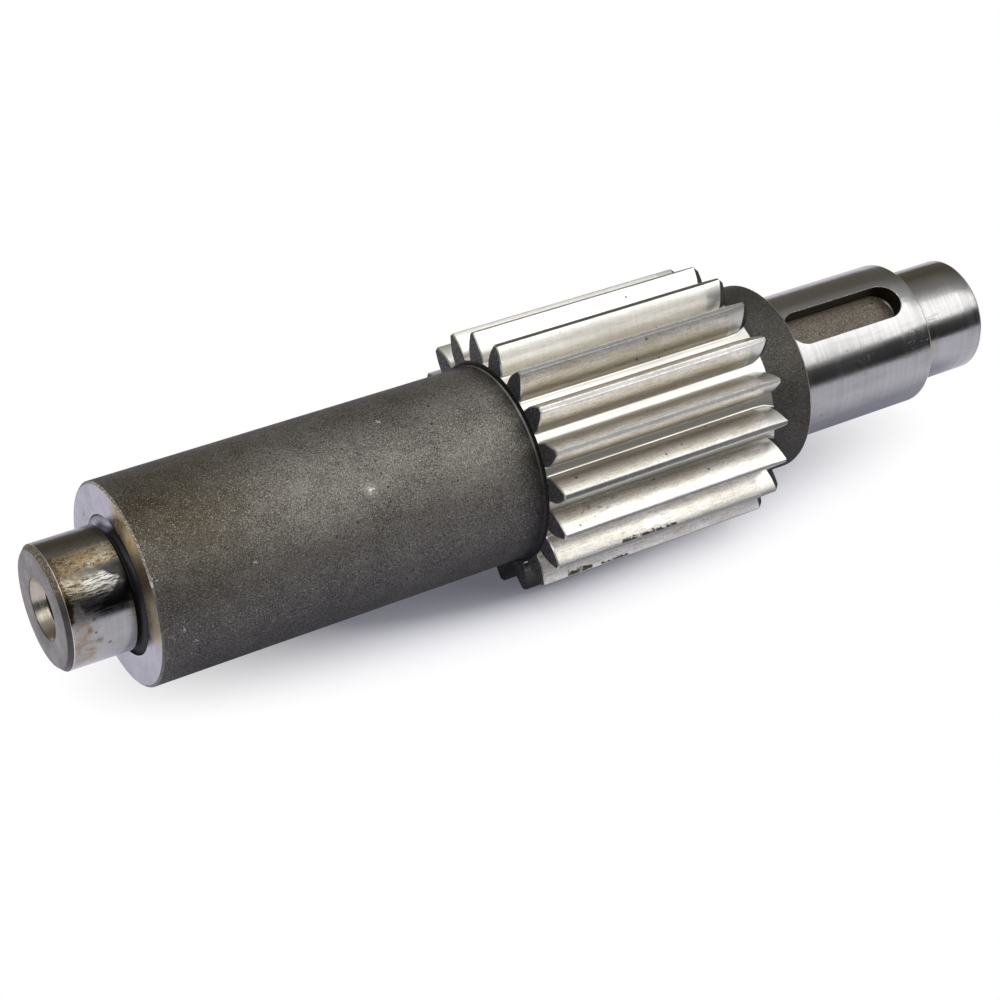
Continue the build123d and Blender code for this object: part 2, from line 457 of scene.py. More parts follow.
def chamfer_stains(place, surface):
    """Rust on the upper part of the front chamfer."""
    area = zone(place, (-14.0, -3.0), (-70, 50), 2.0, 400.0, 12.0)
    flecks = grain(place, 1900.0, 5.0, 0.8)
    return laid(
        surface,
        (area, (0.16, 0.13, 0.095), 0.6),
        (area, (0.15, 0.095, 0.045), 0.8, flecks, 0.42, 0.1),
        (area, (0.6, 0.56, 0.5), 0.75, flecks, 0.54, 0.05),
    ), area


def groove_painted_shade(place, surface):
    """Black oil and painted shade in the groove, left off the upper part of its outer edge, and a painted highlight
    line along that edge.
    """
    along, turn = around(place)
    # Oil and painted shade: all but the upper part, reaching further round in the deeper part
    deep = ramp(from_axis(place), 16.45, 16.25) * ramp(turn, -16, -6)
    oil_and_painted_shade = calc("MAXIMUM", ramp(turn, -7, 4), deep)
    # Painted highlight line along the outer edge
    line = window(along, 8.0, 8.2, 0.07) * window(turn, -4, 54, 8)
    surface = laid(surface, (oil_and_painted_shade, (0.028, 0.028, 0.031), 0.96), (line, (0.35, 0.35, 0.37), 0.7))
    return surface, oil_and_painted_shade * 0.4


def seat_specks_and_painted_shade(place, surface):
    """Small bright scuffs on the keyed seat, and streaks and scratches on the rear journal. The tops of the seat and
    of the rear journal are painted darker as shade.
    """
    scuffed = calc("MAXIMUM", zone(place, (226.0, 233.0), (50, 68), 2.0, 700.0),
        zone(place, (209.0, 214.0), (60, 70), 2.0, 700.0))
    dots = scuffed * ramp(grain(place, 2600.0, 2.0), 0.66, 0.72) * 0.8
    streaks = grain(place, 1500.0, 4.0, 0.65, along=0.12)
    scratches = grain(stretched(place, (1.0, 0.1, 0.1)), 2600.0, 4.0, 0.8)
    seat_top = zone(place, (180.0, 234.0), (-80, 22), 1.5, 200.0, 8.0)
    journal_top = zone(place, (234.0, 257.0), (-80, 27), 1.5, 200.0, 8.0)
    rust = zone(place, (235.0, 246.0), (44, 60), 1.5, 400.0)
    film = zone(place, (233.0, 239.0), (62, 96), 2.5, 300.0, 9.0)
    crown = zone(place, (244.0, 252.0), (4, 32), 1.5, 400.0)
    return laid(
        surface,
        (dots, (0.9, 0.9, 0.88), 1.0),
        # Painted shade: the tops of the seat and of the rear journal are darker
        (seat_top, (0.2, 0.19, 0.165), 0.32),
        (journal_top, (0.19, 0.175, 0.15), 0.75),
        (rust, (0.1, 0.08, 0.05), 0.5, streaks, 0.5, 0.2),
        (film, (0.3, 0.26, 0.18), 0.4),
        (crown, (0.34, 0.33, 0.3), 0.5, scratches, 0.52, 0.15),
    ), dots


# ---- Finishes ----

# What a fully dull stain takes from the metallic look and adds to the roughness
metal_lost = 0.8
roughness_gained = 0.3

# Depth of the fine lines in ground steel
line_depth = 0.003 * MM


def new_finish(name, metallic=1.0):
    """Empty steel finish: the material, its shader's inputs and the surface coordinates."""
    finish = bpy.data.materials.new(name)
    finish.use_nodes = True
    tree = finish.node_tree
    shader = next(n for n in tree.nodes if n.type == "BSDF_PRINCIPLED").inputs
    shader["Metallic"].default_value = metallic
    return finish, shader, node("ShaderNodeTexCoord", {}, "Object", tree)


def blasted_steel(name, dark, light, stains=(), scuffs=()):
    """Shot-blasted skin: dark grey grain with bright specks, scuffs and brown stains of oil. On the body, painted
    shade and a painted highlight ring are laid with the stains.
    """
    finish, shader, place = new_finish(name, metallic=0.6)
    fine = grain(place, 2700.0, 2.0, 0.75)
    coarse = grain(place, 900.0, 3.0, 0.7)
    mottle = grain(place, 130.0, 5.0, 0.6)
    cloud = grain(place, 32.0, along=0.5)
    share = ramp(fine, 0.36, 0.68, 0.0, 0.85) + ramp(coarse, 0.38, 0.68, 0.0, 0.18)
    share = share + ramp(mottle, 0.35, 0.7, -0.12, 0.14)
    share = calc("ADD", share, ramp(cloud, 0.38, 0.66, -0.1, 0.12), clamp=True)
    surface = tint(share, dark, light)
    for centre, reach, ragged, colour, strength in stains:
        dappled = ramp(fine, 0.25, 0.62, strength, 0.7 * strength)
        surface = laid(surface, (patch(place, centre, reach, ragged), colour, dappled))
    for centre, reach in scuffs:
        mask = patch(place, centre, reach, reach, 700.0)
        surface = laid(surface, (mask, (0.75, 0.73, 0.68), 0.7, fine, 0.42, 0.1))
    speck_strength = 0.5
    # Where there are stains, painted shade and a painted highlight ring come with them
    if stains:
        surface, speck_strength = body_marks_and_painted_shade(place, surface, coarse)
    specks = ramp(grain(place, 3600.0, 1.0), 0.6, 0.72)
    holes = pits(place, 330.0, 0.13) * ramp(mottle, 0.5, 0.56)
    surface = laid(surface, (specks, (0.5, 0.475, 0.43), speck_strength), (holes, (0.02, 0.018, 0.016), 0.8))
    lumps = relief(coarse, 0.06 * MM, relief(mottle, 0.06 * MM))
    shader["Specular IOR Level"].default_value = 0.25
    shader["Specular Tint"].default_value = (0.45, 0.45, 0.46, 1.0)
    feed(shader["Base Color"], surface)
    feed(shader["Roughness"], ramp(fine, 0.3, 0.7, 0.58, 0.42))
    feed(shader["Normal"], relief(fine, 0.09 * MM, lumps))
    return finish


def ground_steel(name, colour, shade, roughness, run, waves=1.0, stains=None, spots=0.0, edge_tint=None):
    """Ground or turned surface. Its fine lines run round the axis, along it or up the flanks, or are spots."""
    finish, shader, place = new_finish(name)
    scale = {"round": (1.0, 0.02, 0.02), "along": (0.012, 1.0, 1.0), "across": (1.0, 0.12, 0.12),
             "spotted": (1.0, 1.0, 1.0)}[run]
    drawn = stretched(place, scale)
    lines = grain(drawn, 3800.0, 2.0, 0.6)
    bands = grain(drawn, 1100.0, 4.0, 0.65)
    smears = grain(place, 150.0, 4.0, warp=0.6, along=0.25)
    surface = tint(ramp(bands, 0.3, 0.7, 0.0, 0.45) + ramp(smears, 0.42, 0.72, 0.0, 0.6), colour, shade)
    dull = 0.0
    if stains is not None:
        surface, dull = stains(place, surface)
    if spots:
        dots = pits(place, 300.0, 0.14) * ramp(smears, 0.54, 0.6)
        surface = laid(surface, (dots, (0.05, 0.04, 0.035), spots))
    gloss = ramp(bands, 0.3, 0.7, -0.02 * waves, 0.028 * waves) + ramp(smears, 0.4, 0.7, 0.0, 0.06)
    if edge_tint is not None:
        shader["Specular Tint"].default_value = (*edge_tint, 1.0)
    feed(shader["Base Color"], surface)
    feed(shader["Metallic"], 1.0 - dull * metal_lost)
    feed(shader["Roughness"], gloss + dull * roughness_gained + roughness)
    feed(shader["Normal"], relief(lines, line_depth * waves, relief(bands, line_depth * waves)))
    return finish


def turned_face_steel(name, colour, shade, roughness, stains=None):
    """Faced-off surface with fine rings about the axis."""
    finish, shader, place = new_finish(name)
    rings = grain(node("ShaderNodeCombineXYZ", {"X": from_axis(place)}), 2.6, 2.0)
    cloud = grain(place, 190.0, 4.0, 0.65)
    fine = grain(place, 2100.0, 3.0, 0.7)
    surface = tint(ramp(cloud, 0.35, 0.7, 0.0, 0.5) + ramp(fine, 0.4, 0.62, 0.0, 0.6), colour, shade)
    if stains is not None:
        surface, dull = stains(place, surface)
        feed(shader["Metallic"], 1.0 - dull * metal_lost)
    feed(shader["Base Color"], surface)
    feed(shader["Roughness"], ramp(cloud, 0.35, 0.7, roughness - 0.05, roughness + 0.08))
    feed(shader["Normal"], relief(rings, 0.008 * MM, relief(fine, 0.012 * MM)))
    return finish


# Stains of the body: middle and reach in millimetres, ragged edge, colour, strength. Scuffs: middle and reach
brown = (0.048, 0.036, 0.017)
body_stains = (
    ((20.5, -8.5, 22.9), 30.0, 17.0, brown, 0.8),
    ((13.0, -6.0, 23.8), 8.0, 8.0, (0.03, 0.02, 0.011), 0.65),
    ((22.0, -11.0, 22.0), 16.0, 10.0, (0.046, 0.033, 0.018), 0.55),
    ((14.0, -23.0, 8.0), 14.0, 9.0, (0.05, 0.045, 0.04), 0.4),
    ((105.0, -19.5, 14.0), 9.0, 6.0, (0.035, 0.033, 0.03), 0.6),
    ((12.0, -11.0, 22.0), 8.0, 8.0, (0.04, 0.03, 0.016), 0.5),
    ((65.2, -17.6, 17.1), 2.4, 2.2, (0.4, 0.39, 0.36), 0.4),
)
body_scuffs = (
    ((9.5, -19.9, 14.4), 0.7),
    ((10.5, -20.4, 13.6), 0.6),
    ((65.2, -17.6, 17.1), 2.4),
    ((14.4, -24.5, 1.4), 1.7),
    ((17.1, -24.4, -2.5), 1.2),
    ((33.3, -21.9, 11.0), 1.2),
    ((75.2, -3.3, 24.3), 1.4),
)

finishes = {
    "blasted": blasted_steel("blasted_steel", (0.045, 0.041, 0.036), (0.225, 0.21, 0.188), body_stains, body_scuffs),
    # Rim finish: battered, with a painted highlight on its upper part
    "dented_glinting_rim": ground_steel(
        "rim_glints_and_dents", (0.16, 0.15, 0.14), (0.07, 0.062, 0.052), 0.32, "spotted", 4.0, rim_glints_and_nick),
    "scaled": blasted_steel("scaled_tooth_faces", (0.035, 0.035, 0.037), (0.17, 0.17, 0.175)),
    "front_journal": ground_steel(
        "front_journal_ground", (0.4, 0.395, 0.39), (0.33, 0.325, 0.315), 0.16, "round", 1.2, journal_rust_and_painted_shade, 0.5),
    "seat": ground_steel(
        "keyed_seat_ground", (0.42, 0.415, 0.415), (0.31, 0.305, 0.305), 0.18, "round", 1.7, seat_specks_and_painted_shade, 0.3),
    "flank": ground_steel(
        "tooth_flank_ground", (0.9, 0.885, 0.85), (0.74, 0.72, 0.675), 0.4, "across", 1.3, flank_stains, 0.8),
    "root": ground_steel("tooth_root_ground", (0.6, 0.585, 0.55), (0.45, 0.435, 0.405), 0.34, "along", 1.5, None, 0.5),
    "tip": ground_steel(
        "tooth_tip_turned", (0.33, 0.325, 0.315), (0.17, 0.165, 0.155), 0.3, "along", 2.0, tip_wear, 0.6),
    "end_relief": ground_steel("tooth_end_relief", (0.77, 0.75, 0.71), (0.56, 0.54, 0.5), 0.34, "across", 1.5),
    "edge": ground_steel("worn_bright_edge", (0.75, 0.735, 0.7), (0.25, 0.24, 0.225), 0.3, "along", 2.0, underside_painted_shade),
    "end_face": turned_face_steel("front_end_face", (0.265, 0.25, 0.24), (0.125, 0.116, 0.108), 0.42),
    "shoulder": turned_face_steel("shoulder_turned", (0.43, 0.415, 0.465), (0.33, 0.318, 0.35), 0.3, shoulder_stains),
    "chamfer": ground_steel(
        "chamfer_turned", (0.1, 0.095, 0.09), (0.04, 0.037, 0.033), 0.4, "round", 2.0, chamfer_stains),
    "groove": ground_steel(
        "relief_groove_turned", (0.5, 0.49, 0.53), (0.4, 0.39, 0.42), 0.24, "round", 1.0, groove_painted_shade,
        edge_tint=(0.35, 0.35, 0.37)),
    "mouth": ground_steel("centre_mouth_turned", (0.58, 0.53, 0.45), (0.33, 0.29, 0.23), 0.24, "round", 5.0),
    "bore": ground_steel("tapped_bore", (0.14, 0.13, 0.115), (0.06, 0.055, 0.05), 0.36, "round", 2.0),
    # Keyway wall painted near black as shade in the slot
    "keyway_wall": ground_steel("keyway_wall_milled", (0.06, 0.052, 0.044), (0.025, 0.022, 0.018), 0.36, "along", 2.5),
    # Floor corner of the keyway painted lighter as a highlight
    "keyway_corner": ground_steel("keyway_corner_milled", (0.36, 0.31, 0.24), (0.14, 0.12, 0.09), 0.34, "along", 2.0),
    "keyway_floor": blasted_steel("keyway_floor_milled", (0.04, 0.032, 0.025), (0.2, 0.172, 0.14)),
}
finish_names = list(finishes)


# ---- Pinion teeth ----

tooth_inputs = {
    "Tooth Count": tooth_count,
    "Module": module_size,
    "Pressure Angle": pressure_angle,
    "Profile Shift": profile_shift,
    "Addendum": addendum,
    "Dedendum": dedendum,
    "Root Round": root_round,
    "Tip Break": tip_break,
    "Front Face": pinion_front,
    "Face Width": pinion_rear - pinion_front,
    "Front Bevel": front_tooth_bevel,
    "Rear Tip Bevel": rear_tooth_bevel,
    "Rear Flank Bevel": rear_flank_bevel,
    "End Relief Length": end_relief_length,
    "End Relief Depth": end_relief_depth,
    "Rear Bevel Slant": rear_bevel_slant,
    "Inner Ring Radius": fillet_radius,
    "Flank": finishes["flank"],
    "Root": finishes["root"],
    "Tip": finishes["tip"],
    "End Relief": finishes["end_relief"],
    "Edge": finishes["edge"],
    "Front Faces": finishes["scaled"],
    "Rear Faces": finishes["blasted"],
}


def pinion_teeth_tree():
    """Node tree that draws one tooth and its spaces by the involute rule and sets it round the axis."""
    tree = bpy.data.node_groups.new("pinion_teeth", "GeometryNodeTree")
    tree.is_modifier = True
    tree.interface.new_socket(name="Geometry", in_out="OUTPUT", socket_type="NodeSocketGeometry")
    settings = {}
    for name, value in tooth_inputs.items():
        kind = {int: "NodeSocketInt", float: "NodeSocketFloat"}.get(type(value), "NodeSocketMaterial")
        socket = tree.interface.new_socket(name=name, in_out="INPUT", socket_type=kind)
        settings[socket.identifier] = value
    sockets = tree.nodes.new("NodeGroupInput").outputs
    given = {name: Value(sockets[name]) for name in tooth_inputs}

    def step(value, start, size=1.0):
        """0 up to start, 1 from start + size."""
        return calc("DIVIDE", value - start, size, clamp=True)

    # Sheet of points: a counts from the middle of the tooth, j from the front of the pinion to its rear
    sheet_size = {"Size X": points_per_tooth, "Size Y": tooth_stations - 1,
                  "Vertices X": points_per_tooth + 1, "Vertices Y": tooth_stations}
    sheet = node("GeometryNodeMeshGrid", sheet_size, "Mesh", tree)
    sheet_x, sheet_y, _ = coordinates(node("GeometryNodeInputPosition", {}, 0, tree))
    across = calc("ROUND", sheet_x)
    a = calc("ABSOLUTE", across)
    j = calc("ROUND", sheet_y + (tooth_stations - 1) / 2)

    # Circles of the gear
    teeth, size = given["Tooth Count"], given["Module"]
    pressure, shift = given["Pressure Angle"], given["Profile Shift"]
    pitch_r = size * teeth * 0.5
    base_r = pitch_r * calc("COSINE", pressure)
    tip_r = pitch_r + size * (given["Addendum"] + shift)
    root_r = pitch_r - size * (given["Dedendum"] - shift)

    # Stations along the axis: how far each flank and the tip stand back from the full tooth
    bevel, tip_bevel, relief_long = given["Front Bevel"], given["Rear Tip Bevel"], given["End Relief Length"]
    in_relief = step(j, relief_start)
    in_bevel = step(j, bevel_start)
    straight = given["Face Width"] - bevel - relief_long - tip_bevel
    past_bevel, on_full_tooth = step(j, front_outline), step(j, full_tooth, relief_start - full_tooth)
    x = given["Front Face"] + bevel * past_bevel + straight * on_full_tooth
    x = x + relief_long * in_relief + tip_bevel * in_bevel
    set_back = bevel * (1.0 - past_bevel)
    tip_back = set_back + tip_bevel * in_bevel
    flank_back = set_back + given["End Relief Depth"] * in_relief + given["Rear Flank Bevel"] * in_bevel

    # Radius of each point: tip land, flank down to the base circle, foot, corner round, root
    edge, corner_round = given["Tip Break"], given["Root Round"]
    full_tip = tip_r - tip_back
    flank_share = calc("DIVIDE", flank_foot - a, flank_foot - flank_top, clamp=True)
    flank_r = (full_tip - edge - base_r) * flank_share + base_r
    near_tip = 1.0 - step(a, tip_edge)
    on_root = step(a, flank_foot)
    turn = step(a, corner_start, corner_end - corner_start) * (pi / 2)
    r = flank_r + edge * near_tip - (base_r - root_r - corner_round) * on_root
    r = r - corner_round * calc("SINE", turn)

    # Angle of each point from the middle of the tooth
    def involute(angle):
        return calc("TANGENT", angle) - angle

    half_tooth = (2.0 * shift * calc("TANGENT", pressure) + pi / 2) / teeth
    at_base = half_tooth + involute(pressure)
    lean = calc("ARCCOSINE", calc("MINIMUM", base_r / flank_r, 1.0))
    back_r = root_r * on_root + flank_r * (1.0 - on_root)
    angle = at_base - involute(lean) - flank_back / back_r - near_tip * (edge / tip_r)
    corner = corner_round * (1.0 - calc("COSINE", turn)) / root_r
    angle = angle * step(a, 0) + corner

    # Inner ring of each end face: even steps under the tooth, then the same angles as the corner
    even = (at_base - flank_back / root_r) * step(a, 0, corner_start) + corner
    inner = calc("MAXIMUM", 1.0 - step(j, 0), step(j, bevel_end))
    in_middle = step(a, corner_end)
    angle = even * inner + angle * (1.0 - inner)
    angle = angle * (1.0 - in_middle) + pi / teeth * in_middle
    r = given["Inner Ring Radius"] * inner + r * (1.0 - inner)

    # The rear bevel reaches further forward at the foot of the tooth than at its tip
    x = x - (full_tip - r) * ((in_relief - in_bevel) * given["Rear Bevel Slant"])

    y = r * calc("SINE", angle) * calc("SIGN", across)
    spot = node("ShaderNodeCombineXYZ", {"X": x, "Y": y, "Z": r * calc("COSINE", angle)})
    geometry = sheet
    for name, value in (("across_tooth", a), ("along_tooth", j)):
        inputs = {"Geometry": geometry, "Name": name, "Value": value}
        geometry = node("GeometryNodeStoreNamedAttribute", inputs, "Geometry", data_type="FLOAT", domain="POINT")
    tooth = node("GeometryNodeSetPosition", {"Geometry": geometry, "Position": spot}, "Geometry")

    # The tooth is set round the axis once for each tooth, and the copies are joined into one skin
    row = node("GeometryNodeMeshLine", {"Count": teeth, "Offset": (0.0, 0.0, 0.0)}, "Mesh")
    turn_by = node("GeometryNodeInputIndex", {}, 0, tree) * (2 * pi / teeth)
    turned_by = node("ShaderNodeCombineXYZ", {"X": turn_by})
    copies = node("GeometryNodeInstanceOnPoints", {"Points": row, "Instance": tooth, "Rotation": turned_by})
    real = node("GeometryNodeRealizeInstances", {"Geometry": copies})
    geometry = node("GeometryNodeMergeByDistance", {"Geometry": real, "Distance": 0.001 * MM}, "Geometry")

    def kept(name):
        return node("GeometryNodeInputNamedAttribute", {"Name": name}, "Attribute", tree, data_type="FLOAT")

    def between(value, low, high):
        return (value > low) * (value < high)

    across, along = kept("across_tooth"), kept("along_tooth")
    for name, where in (
        ("Flank", True),
        ("Root", across > corner_start),
        ("Tip", across < tip_edge),
        ("End Relief", between(along, relief_start, bevel_start) * between(across, tip_edge, corner_start)),
        ("Edge", between(across, tip_edge, flank_top) * between(along, front_outline, bevel_start)),
        ("Edge", between(along, front_outline, full_tooth)),
        ("Rear Faces", (along > bevel_start) * (across < corner_start)),
        ("Front Faces", along < front_outline),
        ("Rear Faces", along > bevel_end),
    ):
        inputs = {"Geometry": geometry, "Selection": where, "Material": given[name]}
        geometry = node("GeometryNodeSetMaterial", inputs, "Geometry")
    feed(tree.nodes.new("NodeGroupOutput").inputs["Geometry"], geometry)
    return tree, settings


def settled_mesh(holder, name):
    """Plain mesh of what an object's modifiers make, with the object taken away."""
    bpy.context.view_layer.update()
    graph = bpy.context.evaluated_depsgraph_get()
    mesh = bpy.data.meshes.new_from_object(holder.evaluated_get(graph), depsgraph=graph)
    mesh.name = name
    bpy.data.objects.remove(holder)
    return mesh


def put_out(data, name):
    """Object of a mesh, a lamp or a camera, in the scene."""
    thing = bpy.data.objects.new(name, data)
    bpy.context.scene.collection.objects.link(thing)
    return thing


tree, settings = pinion_teeth_tree()
teeth_holder = put_out(bpy.data.meshes.new("teeth_holder"), "teeth_holder")
modifier = teeth_holder.modifiers.new("pinion_teeth", "NODES")
modifier.node_group = tree
for identifier, value in settings.items():
    modifier[identifier] = value
teeth_mesh = settled_mesh(teeth_holder, "pinion_teeth")


# ---- Turned skin ----

def ring_angles(set_back):
    """Angles of a ring's points, the same as on the inner ring of the pinion's end face."""
    half_tooth = (pi / 2 + 2 * profile_shift * tan(pressure_angle)) / tooth_count
    at_base = half_tooth + tan(pressure_angle) - pressure_angle
    foot = at_base - set_back / root_radius
    corner = [root_round * (1 - cos(turn)) / root_radius for turn in (pi / 4, pi / 2)]
    half = [foot * i / corner_start for i in range(corner_start + 1)] + [foot + c for c in corner]
    one = [-pi / tooth_count] + [-h for h in reversed(half[1:])] + half
    return [2 * pi * t / tooth_count + angle for t in range(tooth_count) for angle in one]


def arc(x, r, radius, start, end, steps):
    """Points of an arc in the half section, angles in degrees."""
    turns = [radians(start + (end - start) * i / steps) for i in range(steps + 1)]
    return [(x + radius * cos(t), r + radius * sin(t)) for t in turns]


def groove(step_station, seat_radius, side, steps=22):
    """Round relief groove in the corner between a seat and a step, drawn towards the rear."""
    x, r = step_station + side * relief_offset, seat_radius + relief_offset
    lean = degrees(asin(relief_offset / relief_radius))
    if side > 0:
        return arc(x, r, relief_radius, 90 + lean, 360 - lean, steps)
    return arc(x, r, relief_radius, 180 + lean, 450 - lean, steps)


def softened(corners, steps=3):
    """Half section with broken corners. Each is x, radius, size and finish, and may have a finish for the break."""
    line = []
    for i, (x, r, size, finish, *broken) in enumerate(corners):
        edge_finish = broken[0] if broken else "edge"
        if size == 0:
            line.append((x, r, finish))
            continue
        here = Vector((x, r))
        before = Vector(corners[i - 1][:2])
        after = Vector(corners[i + 1][:2])
        start = here + (before - here).normalized() * size
        end = here + (after - here).normalized() * size
        for k in range(steps + 1):
            t = k / steps
            point = start * (1 - t) ** 2 + here * 2 * t * (1 - t) + end * t**2
            line.append((point.x, point.y, edge_finish if k < steps else finish))
    return line


def divided(line, longest=9.0 * MM):
    """Half section with its long straights cut into shorter bands."""
    fine = []
    for (x, r, finish), (next_x, next_r, _) in zip(line, line[1:]):
        count = max(1, ceil(sqrt((next_x - x) ** 2 + (next_r - r) ** 2) / longest))
        fine += [(x + (next_x - x) * k / count, r + (next_r - r) * k / count, finish) for k in range(count)]
    return fine + [line[-1]]


def ring(skin, x, radius_at, angles):
    """One ring of points about the axis."""
    radii = [radius_at(angle) for angle in angles]
    return [skin.verts.new((x, r * sin(angle), r * cos(angle))) for r, angle in zip(radii, angles)]


def band(skin, first, second, finish):
    """Faces between two rings, or between a ring and a pole. A ring may have fewer points by a whole number."""
    index = finish_names.index(finish)
    if len(first) < len(second):
        first, second = second, first
    share = len(first) // len(second)
    for k in range(len(second) if len(second) > 1 else len(first)):
        if len(second) == 1:
            corners = [first[k], first[(k + 1) % len(first)], second[0]]
        else:
            far = [first[(k * share + s) % len(first)] for s in range(share + 1)]
            corners = far + [second[(k + 1) % len(second)], second[k]]
        skin.faces.new(corners).material_index = index


def turned(skin, line, angles):
    """Skin of a half section that is turned about the axis. Returns its first and last ring."""
    rings = [ring(skin, x, lambda _, r=r: r, angles if r > 0 else [0.0]) for x, r, _ in line]
    for k, (_, _, finish) in enumerate(line[:-1]):
        band(skin, rings[k], rings[k + 1], finish)
    return rings[0], rings[-1]


def plain(points, finish):
    """Points of a half section with one finish and no broken edge."""
    return [(x, r, 0, finish) for x, r in points]


skin = bmesh.new()
skin.from_mesh(teeth_mesh)
by_name = {finishes[name].name: finish_names.index(name) for name in finish_names}
teeth_finish = [by_name[metal.name] if metal else 0 for metal in teeth_mesh.materials]
for face in skin.faces:
    face.material_index = teeth_finish[face.material_index]

front_angles = ring_angles(front_tooth_bevel)
rear_angles = ring_angles(end_relief_depth + rear_flank_bevel)
mouth_end = front_face + (centre_mouth_radius - thread_relief_radius) / centre_slope
front_groove = groove(front_shoulder, journal_radius, -1)
seat_groove = groove(collar_rear, keyed_seat_radius, 1)
rear_groove = groove(keyed_seat_rear, journal_radius, 1)

front_line = divided(softened(
    [
        (thread_relief_end, thread_relief_radius, 0, "bore"),
        (mouth_end, thread_relief_radius, worn_edge, "mouth", "mouth"),
        (front_face, centre_mouth_radius, 2 * worn_edge, "end_face", "bore"),
        (front_face, journal_radius - front_journal_chamfer, worn_edge, "chamfer", "end_face"),
        (front_face + front_journal_chamfer, journal_radius, worn_edge, "front_journal"),
    ]
    + plain(front_groove[:-1], "groove")
    + [
        (*front_groove[-1], 1.4 * worn_edge, "shoulder"),
        (front_shoulder, body_radius - body_chamfer, 1.7 * worn_edge, "dented_glinting_rim", "dented_glinting_rim"),
        (front_shoulder + body_chamfer, body_radius, worn_edge, "blasted", "blasted"),
    ]
    + plain(arc(pinion_front - face_fillet, fillet_radius, face_fillet, -90, 0, 8), "blasted")
))
step_ring, _ = turned(skin, front_line, front_angles)

# Thread of the tapped centre: the core with a groove that climbs one pitch for each turn
bore_angles = front_angles[::6]
bore_step = thread_pitch / 8
bore_rings = int((thread_end - thread_relief_end) / bore_step)
thread_crest = 0.15
thread_flank = 0.7


def thread_radius(x, angle):
    """Radius of the tapped bore at a station and an angle."""
    turn = (x / thread_pitch - angle / (2 * pi)) % 1.0
    climb = min(1.0, max(0.0, (abs(turn - 0.5) * 2 - thread_crest) / thread_flank))
    fade = min(1.0, max(0.0, (thread_end - x) / thread_pitch))
    return tap_core_radius + thread_depth * climb * fade


last = step_ring
for k in range(bore_rings + 1):
    station = thread_relief_end + k * bore_step
    thread_ring = ring(skin, station, lambda angle, x=station: thread_radius(x, angle), bore_angles)
    band(skin, last, thread_ring, "bore")
    last = thread_ring
bottom_ring = ring(skin, tap_bottom, lambda _: tap_core_radius, bore_angles)
band(skin, last, bottom_ring, "bore")
drill_tip = ring(skin, tap_bottom + tap_core_radius / drill_slope, lambda _: 0.0, [0.0])
band(skin, bottom_ring, drill_tip, "bore")

rear_line = divided(softened(
    plain(arc(pinion_rear + face_fillet, fillet_radius, face_fillet, 180, 270, 8), "blasted")
    + [
        (collar_rear - collar_chamfer, body_radius, worn_edge, "blasted"),
        (collar_rear, body_radius - collar_chamfer, worn_edge, "shoulder"),
    ]
    + plain(seat_groove[:-1], "groove")
    + plain(seat_groove[-1:], "seat")
    + [
        (keyed_seat_rear - keyed_seat_chamfer, keyed_seat_radius, worn_edge, "edge"),
        (keyed_seat_rear, keyed_seat_radius - keyed_seat_chamfer, worn_edge, "shoulder"),
    ]
    + plain(rear_groove[:-1], "groove")
    + plain(rear_groove[-1:], "seat")
    + [
        (rear_face - rear_journal_chamfer, journal_radius, worn_edge, "chamfer"),
        (rear_face, journal_radius - rear_journal_chamfer, worn_edge, "end_face"),
        (rear_face, rear_mouth_radius, worn_edge, "mouth"),
        (rear_face - (rear_mouth_radius - rear_pilot_radius) / centre_slope, rear_pilot_radius, 0, "bore"),
        (rear_face - rear_centre_depth, rear_pilot_radius, 0, "bore"),
        (rear_face - rear_centre_depth - rear_pilot_radius / drill_slope, 0, 0, "bore"),
    ]
))
turned(skin, rear_line, rear_angles)

bmesh.ops.remove_doubles(skin, verts=skin.verts, dist=0.002 * MM)
bmesh.ops.recalc_face_normals(skin, faces=skin.faces)
blank_mesh = bpy.data.meshes.new("shaft_blank")
skin.to_mesh(blank_mesh)
skin.free()
for name in finish_names:
    blank_mesh.materials.append(finishes[name])


# ---- Keyway ----

